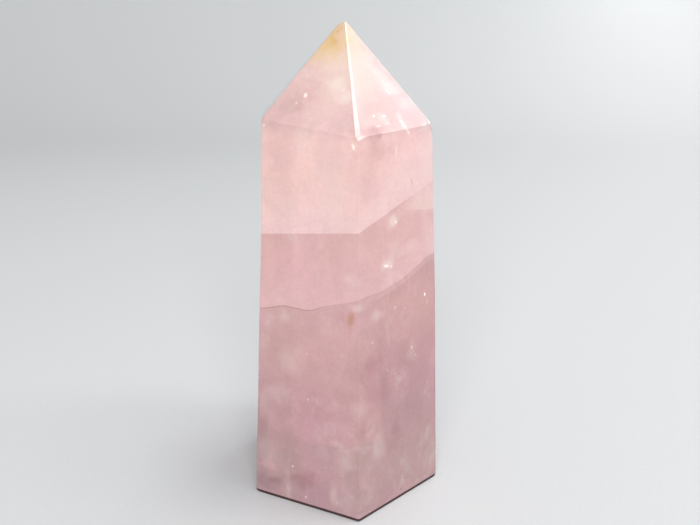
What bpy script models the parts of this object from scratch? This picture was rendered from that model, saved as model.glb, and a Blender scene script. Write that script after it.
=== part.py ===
"""A polished point of rose quartz: one stone, standing on its flat sawn base.

The stone is an uneven six-sided tower that narrows a little towards the top. Six facets, ground
from its shoulders, meet in a short sloping crest. Every arris is polished soft.

Metres, +Z up. The origin is on the base, in the middle of the stone's outline. -Y is the side
that carries the longest arris.
"""

from math import radians

import bmesh
import bpy
from mathutils import Vector

MM = 0.001

NODE = "rose_quartz_point"

# The six upright arrises, counter-clockwise from the front one. Each has the place of its foot on
# the base (x, y) and the height of its shoulder, where the tip's facets begin, in mm.
ARRISES = {
    "front": (4.7, -33.58, 113.1),
    "right": (30.2, -9.20, 114.1),
    "back_right": (22.6, 22.19, 114.0),
    "back": (-8.0, 33.58, 114.0),
    "back_left": (-30.2, 15.88, 115.3),
    "left": (-27.5, -17.54, 116.4),
}

# The arrises lean in towards one far point, which sets the taper, in mm.
TAPER_POINT = (1.8, 1.9, 681.5)

# Five of the tip's six facets meet in its highest point. The one from the back-left shoulder to the
# left one is ground lower, so the stone ends in a short crest that slopes down to the left. Both
# ends of the crest, in mm, and the shoulder that the lower facet starts from.
TIP = (0.55, 1.9, 142.5)
LOW_TIP = (-1.15, 1.67, 141.6)
LOW_FACET_START = "back_left"

# How wide the softened edges are, in mm, and how many steps their rounding takes.
ARRIS_WIDTH = 0.45
BASE_RIM_WIDTH = 0.7
EDGE_STEPS = 2

# Edges flatter than this are not arrises.
ARRIS_ANGLE = radians(8.0)

# Points closer together than this lie on one plane, in mm.
ON_PLANE = 0.01

# How much taller than the finished stone the sawn block is.
BLANK_ALLOWANCE = 1.1

# Polished milky quartz, tinted pink.
PINK = (0.72, 0.42, 0.40, 1.0)
POLISH_ROUGHNESS = 0.12
QUARTZ_IOR = 1.544


def to_metres(point):
    """A point given in mm, as a vector in metres."""
    return Vector(point) * MM


def shoulder(foot_x, foot_y, height):
    """The point on a leaning arris at a height, in metres."""
    foot = to_metres((foot_x, foot_y, 0.0))
    far = to_metres(TAPER_POINT)
    return foot.lerp(far, height / TAPER_POINT[2])


def sawn_blank(bm):
    """The tapered six-sided block, sawn flat below and taller than the finished stone."""
    corners = [bm.verts.new(to_metres((x, y, 0.0))) for x, y, _ in ARRISES.values()]
    base = bm.faces.new(corners)
    grown = bmesh.ops.extrude_face_region(bm, geom=[base], use_keep_orig=True)
    far = to_metres(TAPER_POINT)
    blank_height = TIP[2] * BLANK_ALLOWANCE
    for vert in grown["geom"]:
        if isinstance(vert, bmesh.types.BMVert):
            vert.co = vert.co.lerp(far, blank_height / TAPER_POINT[2])
    bmesh.ops.recalc_face_normals(bm, faces=bm.faces[:])


def grind(bm, point, normal):
    """Take away all that stands beyond a plane of unit normal, and close the cut with one facet."""
    everything = bm.verts[:] + bm.edges[:] + bm.faces[:]
    cut = bmesh.ops.bisect_plane(bm, geom=everything, dist=ON_PLANE * MM, plane_co=point, plane_no=normal,
                                 clear_outer=True)
    rim = [item for item in cut["geom_cut"] if isinstance(item, bmesh.types.BMEdge)]
    bmesh.ops.contextual_create(bm, geom=rim)


def grind_tip_facets(bm):
    """Six facets, each through two neighbouring shoulders and one end of the crest."""
    shoulders = {name: shoulder(*arris) for name, arris in ARRISES.items()}
    names = list(ARRISES)
    for first, second in zip(names, names[1:] + names[:1]):
        top = to_metres(LOW_TIP if first == LOW_FACET_START else TIP)
        outward = (shoulders[first] - top).cross(shoulders[second] - top)
        grind(bm, top, outward.normalized())


def soften_edges(bm):
    """Round the arrises, and a little more the rim of the base, which stays flat."""
    rim = [edge for edge in bm.edges if all(vert.co.z < ON_PLANE * MM for vert in edge.verts)]
    rounded = bmesh.ops.bevel(bm, geom=rim, offset=BASE_RIM_WIDTH * MM, segments=EDGE_STEPS, profile=0.5,
                              affect="EDGES", material=-1, clamp_overlap=True)
    done = set(rounded["edges"])
    arrises = [edge for edge in bm.edges
               if edge not in done and edge.calc_face_angle(0.0) > ARRIS_ANGLE
               and max(vert.co.z for vert in edge.verts) > BASE_RIM_WIDTH * MM * EDGE_STEPS]
    bmesh.ops.bevel(bm, geom=arrises, offset=ARRIS_WIDTH * MM, segments=EDGE_STEPS, profile=0.5,
                    affect="EDGES", material=-1, clamp_overlap=True)


def centre_on_origin(bm):
    """Bring the middle of the stone's outline over the origin."""
    for axis in range(2):
        places = [vert.co[axis] for vert in bm.verts]
        shift = Vector((0.0, 0.0, 0.0))
        shift[axis] = -(min(places) + max(places)) / 2
        bmesh.ops.translate(bm, verts=bm.verts[:], vec=shift)


def rose_quartz():
    """Polished rose quartz: a milky pink, glossy stone."""
    material = bpy.data.materials.new("polished_rose_quartz")
    material.use_nodes = True
    shader = material.node_tree.nodes["Principled BSDF"]
    shader.inputs["Base Color"].default_value = PINK
    shader.inputs["Metallic"].default_value = 0.0
    shader.inputs["Roughness"].default_value = POLISH_ROUGHNESS
    shader.inputs["IOR"].default_value = QUARTZ_IOR
    return material


def build_stone():
    """The whole stone, as one closed body."""
    bm = bmesh.new()
    sawn_blank(bm)
    grind_tip_facets(bm)
    soften_edges(bm)
    centre_on_origin(bm)
    bmesh.ops.recalc_face_normals(bm, faces=bm.faces[:])
    mesh = bpy.data.meshes.new(NODE)
    bm.to_mesh(mesh)
    bm.free()
    mesh.materials.append(rose_quartz())
    mesh.shade_smooth()
    mesh.set_sharp_from_angle(angle=ARRIS_ANGLE)
    stone = bpy.data.objects.new(NODE, mesh)
    bpy.context.scene.collection.objects.link(stone)


def main():
    for leftover in list(bpy.data.objects):
        bpy.data.objects.remove(leftover)
    build_stone()


main()
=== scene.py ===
"""A polished rose quartz point: the finished look of the stone, of what is sealed in it, and its stage.

The stone is ground plane by plane from a block. It is milky but see-through, so the healed fractures,
clouds and specks inside it are pieces of their own, and they show through its faces.
Lengths in the constants are millimetres, and the model is in metres.
"""

from math import cos, exp, pi, radians, sin, sqrt
from random import Random

import bmesh
import bpy
from bpy.props import FloatProperty, FloatVectorProperty, IntProperty, PointerProperty
from mathutils import Matrix, Vector, noise
from mathutils.bvhtree import BVHTree


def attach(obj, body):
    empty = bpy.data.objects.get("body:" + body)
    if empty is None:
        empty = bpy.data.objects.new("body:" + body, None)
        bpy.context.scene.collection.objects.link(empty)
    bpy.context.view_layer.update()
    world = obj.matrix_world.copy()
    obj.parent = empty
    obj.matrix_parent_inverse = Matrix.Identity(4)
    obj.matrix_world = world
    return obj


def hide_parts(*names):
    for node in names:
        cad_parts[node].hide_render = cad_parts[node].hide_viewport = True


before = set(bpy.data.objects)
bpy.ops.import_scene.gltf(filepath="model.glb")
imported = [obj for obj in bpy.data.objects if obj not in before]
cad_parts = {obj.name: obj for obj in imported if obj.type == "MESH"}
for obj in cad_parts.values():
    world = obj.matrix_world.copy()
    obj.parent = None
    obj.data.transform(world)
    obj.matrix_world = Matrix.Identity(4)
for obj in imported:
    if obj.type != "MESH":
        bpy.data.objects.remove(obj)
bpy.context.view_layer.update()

bl_info = {
    "name": "Rose quartz point",
    "version": (1, 0, 0),
    "blender": (4, 5, 0),
    "location": "3D View > Sidebar > Rose quartz",
    "description": "Makes a polished rose quartz point with its veils, clouds and specks",
    "category": "Add Mesh",
}

NODE = "rose_quartz_point"
STONE = "polished_point"
MM = 0.001
UPWARDS = (0.0, 0.0, 1.0)
BASE = (Vector((0.0, 0.0, 0.0)), Vector((0.0, 0.0, -1.0)))

# How much quartz bends light. The films in it are filled with the same quartz.
QUARTZ_IOR = 1.544

# The upright arrises, counter-clockwise from the front one: the foot of each (x, y) and the height
# of its shoulder.
ARRISES = {
    "front": (4.7, -33.58, 113.1),
    "right": (30.2, -9.20, 114.1),
    "back_right": (22.6, 22.19, 114.0),
    "back": (-8.0, 33.58, 114.0),
    "back_left": (-30.2, 15.88, 115.3),
    "left": (-27.5, -17.54, 116.4),
}
TAPER_POINT = (1.8, 1.9, 681.5)

# The two ends of the short crest at the top, and the shoulder whose facet meets the lower one.
TIP = (0.55, 1.9, 142.5)
LOW_TIP = (-1.15, 1.67, 141.6)
LOW_FACET_START = "back_left"

# How many narrow flats make up the rounding of an edge. How round the corners of the shoulders and the
# tip are, in mm. How round some ridges, shoulders and upright arrises are, as a share of the rest.
EDGE_FLATS = 5
CORNER_RADII = {"front": 0.4, "right": 2.6}
USUAL_CORNER_RADIUS = 0.9
TIP_RADIUS = 0.95
RIDGE_SHARES = {"right": 1.7}
SHOULDER_SHARES = {"left": 2.4}
ARRIS_SHARES = {"front": 0.5}

# The narrow flat on the front ridge, ground in two strokes: its width at the tip and at the foot as
# shares of the set width. Below nothing means that the stroke starts further down.
FRONT_STROKES = ((0.31, 0.57), (-0.4, 1.0))

# How the right shoulder is worn from the front corner: how far each stroke leans over to the side,
# how far it reaches in mm, and how fast it deepens. Two small flats join it to the front flat, each
# leaning part of the way and ground to a depth in mm.
FRONT_WEAR = ((0.30, 5.2, 0.028), (0.24, 2.7, 0.125))
FRONT_JOINS = ((0.33, 0.40), (0.66, 0.41))

# The rings of small flats that round a corner: how far each leans from the corner's middle towards
# its edges.
CORNER_RINGS = (0.35, 0.7)

# The block that the stone is ground from, how far apart its faces are sliced so that they can be worn
# out of true, and the box that the slices cover, in mm.
BLOCK_SIZE = 400.0
SLICE = 3.0
SLICED_BOX = ((-33.0, 33.0), (-36.0, 36.0), (0.0, 142.0))

# Points closer than this are on one plane, on one slice, or are one point, in mm.
ON_PLANE = 0.002
ON_SLICE = 0.01
ONE_POINT = 0.004

# The waves that hand polishing leaves: how long each is, in mm, and its share.
WEAR_WAVES = ((31.0, 1.0), (11.0, 0.35))

# Where polishing has left the sides hollow or proud: the centre, the reach and the depth in mm.
HOLLOWS_AND_SWELLS = (
    ((-27.0, -16.0, 88.0), 30.0, -0.35),
    ((-27.0, -17.0, 8.0), 22.0, 0.3),
    ((29.0, -8.0, 60.0), 36.0, 0.38),
)


def metres(point):
    """A point given in mm, as a vector in metres."""
    return Vector(point) * MM


def linear(hex_colour):
    """An sRGB hex colour as linear red, green and blue."""
    digits = hex_colour.lstrip("#")
    channels = [int(digits[i:i + 2], 16) / 255 for i in (0, 2, 4)]
    return tuple(c / 12.92 if c <= 0.04045 else ((c + 0.055) / 1.055) ** 2.4 for c in channels)


def opaque(colour):
    """A colour with full alpha, as a colour socket wants it."""
    return (*colour, 1.0)


# Settings that a user would change


def length_setting(name, description, default, low, high):
    """A length, given in mm with its limits."""
    return FloatProperty(name=name, description=description, default=default * MM, min=low * MM,
                         max=high * MM, unit="LENGTH", precision=5)


def share_setting(name, description, default):
    """A share between none and all."""
    return FloatProperty(name=name, description=description, default=default, min=0.0, max=1.0,
                         subtype="FACTOR")


def colour_setting(name, description, hex_colour):
    """A colour, given in sRGB hex."""
    return FloatVectorProperty(name=name, description=description, default=linear(hex_colour),
                               subtype="COLOR", min=0.0, max=1.0)


def count_setting(name, description, default, high):
    """A whole number of things."""
    return IntProperty(name=name, description=description, default=default, min=0, max=high)


class StoneSettings(bpy.types.PropertyGroup):
    """The stone's edges, polish and milk"""

    arris_radius: length_setting(
        "Upright arris radius", "How round the upright edges are polished", 0.22, 0.1, 2.0)
    shoulder_radius: length_setting(
        "Shoulder radius", "How round the edges between the sides and the tip's facets are", 0.35, 0.1, 2.0)
    ridge_radius: length_setting(
        "Ridge radius", "How round the edges between two facets of the tip are", 0.6, 0.1, 1.5)
    rim_radius: length_setting("Base rim radius", "How round the rim of the base is", 0.35, 0.1, 1.5)
    front_flat_width: length_setting(
        "Front flat width", "How wide the narrow flat on the front ridge is at its foot", 1.5, 0.3, 2.5)
    waviness: length_setting(
        "Waviness", "How far hand polishing has worn the faces out of true", 0.10, 0.0, 0.4)
    clear_share: share_setting(
        "Clear share", "How much of the light passes into the stone; the rest is its milk", 0.5)
    polish_roughness: share_setting("Polish roughness", "How rough the polished faces are", 0.07)
    # The upper pink, middle pink and lower mauve grow darker from layer to layer downwards: partly the
    # stone's own colour, and partly painted shade where the fractures hold back the light from above.
    upper_pink: colour_setting("Upper pink", "The milk above the upper fracture", "#ffdfdb")
    tip_pink: colour_setting("Tip pink", "The milk in the tip", "#ecd0d1")
    middle_pink: colour_setting("Middle pink", "The milk between the two fractures", "#ecc5c6")
    lower_mauve: colour_setting("Lower mauve", "The milk below the lower fracture", "#d2abb0")
    foot_mauve: colour_setting("Foot mauve", "The milk near the base", "#dab1b6")
    rust: colour_setting("Rust", "The iron stain near the tip", "#e9cc7e")
    # The pale and white milk also paint a highlight on the right shoulder corner.
    pale_milk_and_highlight: colour_setting("Pale milk", "The paler patches of the milk", "#fff0ea")
    white_milk_and_highlight: colour_setting("White milk", "The white hazes of the tip", "#f6f4f0")
    cool_milk: colour_setting("Cool milk", "The greyer patches of the milk", "#9f8588")
    deep_rose: colour_setting("Deep rose", "The deeper patches of the milk", "#a5646c")
    depth_pink: colour_setting("Depth pink", "What light turns to on its way through the stone", "#f8cfcd")
    depth_strength: FloatProperty(
        name="Depth strength", description="How fast light turns to the depth pink",
        default=9.0, min=0.0, max=200.0)


class SealedSettings(bpy.types.PropertyGroup):
    """What is sealed in the stone"""

    veil_white: colour_setting("Veil white", "The film of tiny bubbles in the healed fractures", "#fbe9e4")
    inner_pink: colour_setting("Inner pink", "The large soft veils across the inside", "#f6d8d6")
    inner_veils: count_setting("Inner veils", "How many large soft veils hang across the inside", 12, 40)
    flaw_white: colour_setting("Flaw white", "The bright specks and streaks near the polish", "#fdece7")
    rust_brown: colour_setting("Rust brown", "The specks of iron rust", "#bd8d45")
    crack_brown: colour_setting("Crack brown", "The thin open cracks and the dark grains", "#7d5a52")
    seed: IntProperty(
        name="Seed", description="Picks another scatter of the unseen sides' clouds and specks",
        default=7, min=0)
    scattered_specks: count_setting(
        "Scattered specks", "How many small specks are scattered under the polish", 90, 400)
    scattered_clouds: count_setting(
        "Scattered clouds", "How many milky clouds are scattered in the stone", 26, 100)


class StageSettings(bpy.types.PropertyGroup):
    """The floor and the lights"""

    floor_grey: colour_setting("Floor colour", "The plain pale floor", "#c3c6c9")
    room_light: FloatProperty(
        name="Room light", description="Strength of the soft light from all round",
        default=0.55, min=0.0, max=10.0)
    light_power: FloatProperty(
        name="Light power", description="Power of the large front light; the others keep their shares of it",
        default=40.5, min=0.0, max=500.0, subtype="POWER", unit="POWER")


# The stone's planes


def shoulder(name):
    """The point on a leaning arris where the tip begins, in metres."""
    foot_x, foot_y, height = ARRISES[name]
    return metres((foot_x, foot_y, 0.0)).lerp(metres(TAPER_POINT), height / TAPER_POINT[2])


def plane_through(first, second, third):
    """(point, outward normal) of the plane through three points, for a stone round the Z axis."""
    normal = (second - first).cross(third - first).normalized()
    inside = metres((0.0, 0.0, 60.0))
    if normal.dot(inside - first) > 0:
        normal.negate()
    return first, normal


def neighbours():
    """Pairs of names of neighbouring arrises, counter-clockwise."""
    names = list(ARRISES)
    return zip(names, names[1:] + names[:1])


def side_planes():
    """The six sides, each as (point, outward normal)."""
    far = metres(TAPER_POINT)
    feet = {name: metres((x, y, 0.0)) for name, (x, y, _) in ARRISES.items()}
    return [plane_through(feet[first], feet[second], far) for first, second in neighbours()]


def tip_planes():
    """The tip's six facets, each as (point, outward normal)."""
    planes = []
    for first, second in neighbours():
        top = metres(LOW_TIP if first == LOW_FACET_START else TIP)
        planes.append(plane_through(top, shoulder(first), shoulder(second)))
    return planes


def ridge_flat(first, second, arris, top_width, foot_width):
    """The plane of a narrow flat along the ridge between two facets, widening towards a shoulder."""
    ridge_top = metres(TIP)
    ridge_foot = shoulder(arris)
    bisector = (first[1] + second[1]).normalized()
    half_angle = first[1].angle(second[1]) / 2
    depth_per_width = sin(half_angle) / cos(half_angle) / 2
    across = bisector.cross(ridge_foot - ridge_top).normalized()
    high = ridge_top - bisector * (top_width * depth_per_width)
    low = ridge_foot - bisector * (foot_width * depth_per_width)
    return plane_through(high, low, high + across)


# Making a mesh


def grind(bm, plane, inset=0.0, keep_open=False, crisp=False):
    """Take away all that stands beyond a plane, and close the cut with one face.

    A crisp face keeps its own flat shading.
    """
    point, normal = plane
    everything = bm.verts[:] + bm.edges[:] + bm.faces[:]
    cut = bmesh.ops.bisect_plane(bm, geom=everything, dist=ON_PLANE * MM, plane_co=point - normal * inset,
                                 plane_no=normal, clear_outer=True)
    rim = [item for item in cut["geom_cut"] if isinstance(item, bmesh.types.BMEdge)]
    if rim and not keep_open:
        made = bmesh.ops.contextual_create(bm, geom=rim)["faces"]
        if crisp:
            for face in made:
                face[bm.faces.layers.int["crisp"]] = 1


def round_edge(bm, point, first, second, radius):
    """Round the edge through a point between two planes, by several narrow flats that touch a cylinder."""
    turn = first.angle(second)
    middle = (first + second).normalized()
    centre = point - middle * (radius / cos(turn / 2))
    for step in range(1, EDGE_FLATS + 1):
        normal = first.slerp(second, step / (EDGE_FLATS + 1)).normalized()
        grind(bm, (centre + normal * radius, normal))


def round_corner(bm, point, normals, radius):
    """Round the corner at a point where several planes meet, by small flats that touch a ball."""
    middle = sum(normals, Vector()).normalized()
    centre = point - middle * (radius / min(middle.dot(normal) for normal in normals))
    grind(bm, (centre + middle * radius, middle))
    for share in CORNER_RINGS:
        for first, second in zip(normals, normals[1:] + normals[:1]):
            towards = middle.slerp((first + second).normalized(), share).normalized()
            grind(bm, (centre + towards * radius, towards))


def grind_front_flat(bm, before, after, side, sizes):
    """The narrow flat on the front ridge, and the worn start of the shoulder to its right."""
    width = sizes.front_flat_width
    for top_share, foot_share in FRONT_STROKES:
        flat = ridge_flat(before, after, "front", top_share * width, foot_share * width)
        grind(bm, flat, crisp=True)
    corner, end = shoulder("front"), shoulder("right")
    along = (end - corner).normalized()
    for share, length, slant in FRONT_WEAR:
        worn = (after[1].slerp(side[1], share) - along * slant).normalized()
        grind(bm, (corner + along * (length * MM), worn), crisp=True)
    for share, depth in FRONT_JOINS:
        between = flat[1].slerp(worn, share)
        grind(bm, (corner - between * (depth * MM), between), crisp=True)


def ground_stone(bm, sizes):
    """A block ground to the stone's faces, with every edge and corner rounded by hand."""
    bm.faces.layers.int.new("crisp")
    bmesh.ops.create_cube(bm, size=BLOCK_SIZE * MM)
    down = BASE[1]
    grind(bm, BASE)
    sides = side_planes()
    facets = tip_planes()
    for plane in sides + facets:
        grind(bm, plane)
    names = list(ARRISES)
    for after, name in enumerate(names):
        foot_x, foot_y, _ = ARRISES[name]
        foot = metres((foot_x, foot_y, 0.0))
        before_side, side = sides[after - 1][1], sides[after][1]
        before_facet, facet = facets[after - 1][1], facets[after][1]
        if name == "front":
            grind_front_flat(bm, facets[after - 1], facets[after], sides[after], sizes)
        else:
            round_edge(bm, shoulder(name), before_facet, facet,
                       sizes.ridge_radius * RIDGE_SHARES.get(name, 1.0))
        round_edge(bm, foot, before_side, side, sizes.arris_radius * ARRIS_SHARES.get(name, 1.0))
        round_edge(bm, shoulder(name), side, facet,
                   sizes.shoulder_radius * SHOULDER_SHARES.get(name, 1.0))
        round_edge(bm, foot, side, down, sizes.rim_radius)
        round_corner(bm, shoulder(name), [before_side, side, facet, before_facet],
                     CORNER_RADII.get(name, USUAL_CORNER_RADIUS) * MM)
        round_corner(bm, foot, [before_side, side, down], sizes.rim_radius)
    round_corner(bm, metres(TIP), [normal for _, normal in facets], TIP_RADIUS * MM)
    bmesh.ops.remove_doubles(bm, verts=bm.verts[:], dist=ONE_POINT * MM)


def keep_crisp(bm):
    """Mark the edges round the crisp faces, so that they aren't shaded smooth."""
    crisp = bm.faces.layers.int["crisp"]
    for edge in bm.edges:
        edge.smooth = len({face[crisp] for face in edge.link_faces}) == 1


def finish_mesh(name, bm, material):
    """A bmesh as a linked object of that name and material."""
    for face in bm.faces:
        face.smooth = True
    mesh = bpy.data.meshes.new(name)
    bm.to_mesh(mesh)
    bm.free()
    mesh.materials.append(material)
    piece = bpy.data.objects.new(name, mesh)
    bpy.context.scene.collection.objects.link(piece)
    return piece


def sliced(bm):
    """Cut every face along a grid of planes, so the faces can be worn out of true."""
    for axis, (low, high) in enumerate(SLICED_BOX):
        normal = Vector((0.0, 0.0, 0.0))
        normal[axis] = 1.0
        steps = int((high - low) / SLICE)
        for step in range(1, steps):
            place = normal * ((low + step * SLICE) * MM)
            everything = bm.verts[:] + bm.edges[:] + bm.faces[:]
            bmesh.ops.bisect_plane(bm, geom=everything, dist=ON_SLICE * MM, plane_co=place, plane_no=normal)


def hand_worn(bm, sizes):
    """Wear the faces a little out of true, as hand polishing does."""
    for vert in bm.verts:
        place = vert.co / MM
        outward = Vector((place.x - TAPER_POINT[0], place.y - TAPER_POINT[1], 0.0))
        if outward.length < 1.0:
            continue
        swell = sum(share * noise.noise(place / length) for length, share in WEAR_WAVES)
        shift = -sizes.waviness * (1.0 + 0.6 * swell)
        for centre, reach, depth in HOLLOWS_AND_SWELLS:
            shift += depth * MM * exp(-((place - Vector(centre)).length / reach) ** 2)
        vert.co += outward.normalized() * shift


# Nodes


def feed(tree, value, socket):
    """Give a socket its value, or link it to another socket or to a node's first output in use."""
    if isinstance(value, bpy.types.Node):
        value = next(output for output in value.outputs if output.enabled)
    if isinstance(value, bpy.types.NodeSocket):
        tree.links.new(value, socket)
    else:
        socket.default_value = value


def add_node(tree, kind, inputs=(), **settings):
    """A shader node of that kind, with its settings and links.

    The inputs are given by name, or in the order of the sockets that the settings leave in use.
    """
    made = tree.nodes.new("ShaderNode" + kind)
    for name, value in settings.items():
        setattr(made, name, value)
    if not isinstance(inputs, dict):
        in_use = [index for index, socket in enumerate(made.inputs) if socket.enabled]
        inputs = dict(zip(in_use, inputs))
    for name, value in inputs.items():
        feed(tree, value, made.inputs[name])
    return made


def new_material(name):
    """(material, its node tree, its Principled shader)."""
    material = bpy.data.materials.new(name)
    material.use_nodes = True
    return material, material.node_tree, material.node_tree.nodes["Principled BSDF"]


def place_in_mm(tree):
    """The Object coordinates in mm, so that a pattern's scale is one over its size in mm."""
    coordinates = add_node(tree, "TexCoord").outputs["Object"]
    return add_node(tree, "VectorMath", (coordinates, 1 / MM), operation="SCALE")


def distance_to(tree, place, centre, squash=(1.0, 1.0, 1.0)):
    """How far a place is from a centre, in mm, with each axis squashed."""
    moved = [-along * by for along, by in zip(centre, squash)]
    apart = add_node(tree, "VectorMath", (place, squash, moved), operation="MULTIPLY_ADD")
    return add_node(tree, "VectorMath", (apart,), operation="LENGTH")


def swing_of(tree, pattern, reach):
    """A pattern between 0 and 1, made to swing about zero, so that it tears an edge."""
    centred = add_node(tree, "Math", (pattern, 0.5), operation="SUBTRACT")
    return add_node(tree, "Math", (centred, reach), operation="MULTIPLY")


def passing_both(tree, first, second):
    """Where two values are both past their limits.

    Each is given as (value, from, to), and may add what it gives before and after them.
    """
    past = [add_node(tree, "MapRange", limits, interpolation_type="SMOOTHSTEP")
            for limits in (first, second)]
    return add_node(tree, "Math", past, operation="MULTIPLY")


def turning(tree, value, low, high, first, second):
    """One colour that turns softly into another between two limits of a value."""
    factor = add_node(tree, "MapRange", (value, low, high), interpolation_type="SMOOTHSTEP")
    return add_node(tree, "Mix", (factor, first, second), data_type="RGBA")


def tinged(tree, body, where, share, colour):
    """The body colour with a share of another one wherever `where` is 1."""
    factor = add_node(tree, "Math", (where, share), operation="MULTIPLY")
    return add_node(tree, "Mix", (factor, body, opaque(colour)), data_type="RGBA")


def mottled(tree, body, pattern, low, high, darkest, lightest):
    """The body colour, darkened and lightened by a pattern between two limits of it."""
    shade = add_node(tree, "MapRange", (pattern, low, high, darkest, lightest),
                     interpolation_type="SMOOTHSTEP")
    return add_node(tree, "VectorMath", (body, shade), operation="SCALE")


# The healed fractures

# Each crosses the whole stone. It passes the front arris at `height` over (x, y), slopes by
# (along x, along y), and dips in its middle by `bowl` per mm^2 below its rim. It dips or rises in
# `dips` too: the centre (x, y), the reach and the depth of each.
UPPER_FRACTURE = {"at": (4.3, -29.0), "height": 87.8, "slope": (0.251, 0.218), "bowl": 0.0, "rim": 29.0,
                  "dips": ()}
LOWER_FRACTURE = {"at": (4.4, -29.97), "height": 69.2, "slope": (0.233, -0.045), "bowl": 0.0035,
                  "rim": 30.3, "dips": (((-17.8, -19.2), 3.0, -0.7), ((-9.7, -23.2), 4.0, 1.12),
                                        ((27.0, -8.0), 12.0, -3.5))}


def fracture_height(fracture, x, y):
    """The height of a healed fracture over a point, in mm."""
    (at_x, at_y), (slope_x, slope_y) = fracture["at"], fracture["slope"]
    plane = fracture["height"] + slope_x * (x - at_x) + slope_y * (y - at_y)
    plane += fracture["bowl"] * (x * x + y * y - fracture["rim"] ** 2)
    for (dip_x, dip_y), reach, depth in fracture["dips"]:
        plane -= depth * exp(-((x - dip_x) ** 2 + (y - dip_y) ** 2) / reach ** 2)
    return plane


def height_over_fracture(tree, place, fracture):
    """The same as nodes: how far above a healed fracture a point is, in mm."""
    (at_x, at_y), (slope_x, slope_y) = fracture["at"], fracture["slope"]
    level = fracture["height"] - slope_x * at_x - slope_y * at_y - fracture["bowl"] * fracture["rim"] ** 2
    tilt = add_node(tree, "VectorMath", (place, (-slope_x, -slope_y, 1.0)), operation="DOT_PRODUCT")
    flat = add_node(tree, "VectorMath", (place, (1.0, 1.0, 0.0)), operation="MULTIPLY")
    span = add_node(tree, "VectorMath", (flat, flat), operation="DOT_PRODUCT")
    bowl = add_node(tree, "Math", (span, fracture["bowl"]), operation="MULTIPLY")
    over = add_node(tree, "Math", (tilt, bowl), operation="SUBTRACT")
    over = add_node(tree, "Math", (over, level), operation="SUBTRACT")
    for (dip_x, dip_y), reach, depth in fracture["dips"]:
        apart = distance_to(tree, flat, (dip_x, dip_y, 0.0), (1 / reach, 1 / reach, 0.0))
        squared = add_node(tree, "Math", (apart, 2.0), operation="POWER")
        bell = add_node(tree, "Math", (exp(-1), squared), operation="POWER")
        dip = add_node(tree, "Math", (bell, depth), operation="MULTIPLY")
        over = add_node(tree, "Math", (over, dip), operation="ADD")
    return over


# How far light gathers above a fracture and is lost below it, in mm, and how strong the loss is
# against the gain.
LIGHT_ABOVE = 16.0
LIGHT_BELOW = -9.0
LOSS_SHARE = 0.6


def near_fracture(tree, height):
    """1 just above a fracture, fading upwards, and less than 0 just below it, fading downwards."""
    parts = []
    for side, reach in (("GREATER_THAN", LIGHT_ABOVE), ("LESS_THAN", LIGHT_BELOW)):
        on_this_side = add_node(tree, "Math", (height, 0.0), operation=side)
        near = add_node(tree, "MapRange", (height, 0.0, reach, 1.0, 0.0))
        parts.append(add_node(tree, "Math", (on_this_side, near), operation="MULTIPLY"))
    gain, loss = parts
    loss = add_node(tree, "Math", (loss, LOSS_SHARE), operation="MULTIPLY")
    return add_node(tree, "Math", (gain, loss), operation="SUBTRACT")


# The stone's milk

# How large its patterns are, in mm, from the coarsest to the finest.
WARM_AND_COOL_AREAS = 26.0
GROWTH_DOMAINS = 21.0
HAZY_PARTS = 17.0
SMUDGES_ON_THE_POLISH = 9.0
SOFT_CLOUDS = 8.0
DOMAIN_BENDS = 6.0
TORN_PATCH_RIMS = 4.6
FRECKLE_NET = 2.6
TORN_STAIN_RIMS = 2.6
GRAIN = 1.1

# The two directions that the hazes are drawn out in: the turn, the stretch and the size of each.
HAZES = (
    ((0.5, 0.35, 0.2), (1.0, 1.0, 0.55), 4.5),
    ((-0.7, 0.9, 0.0), (1.0, 0.5, 1.0), 5.5),
)

# The colours of small things in the milk, of the light that the fractures gather, and of the painted shade
# along the rim.
WARM_AREA = (1.015, 1.01, 0.965)
COOL_AREA = (1.0, 0.965, 1.0)
GATHERED_LIGHT = "#f9dde8"
HAZE_WHITE = "#fbefec"
FRECKLE_WHITE = "#fff6f2"
RUST_PATCH = "#c08a4a"
OCHRE_PATCH = "#b89c50"
CREAM_PATCH = "#fff4d8"
PALE_STAIN = "#fdefe2"
CREAM_STAIN = "#f8e2b4"
STAIN_CORE = "#e6b046"
OPEN_CRACK = "#a3705f"
# Painted shade along the foot of the stone.
RIM_SHADE = "#38060f"

# How high the band above the base is that is painted dark as shade and made rougher, and where it has faded
# out, in mm.
RIM_HEIGHTS = (0.95, 1.1)
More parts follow.
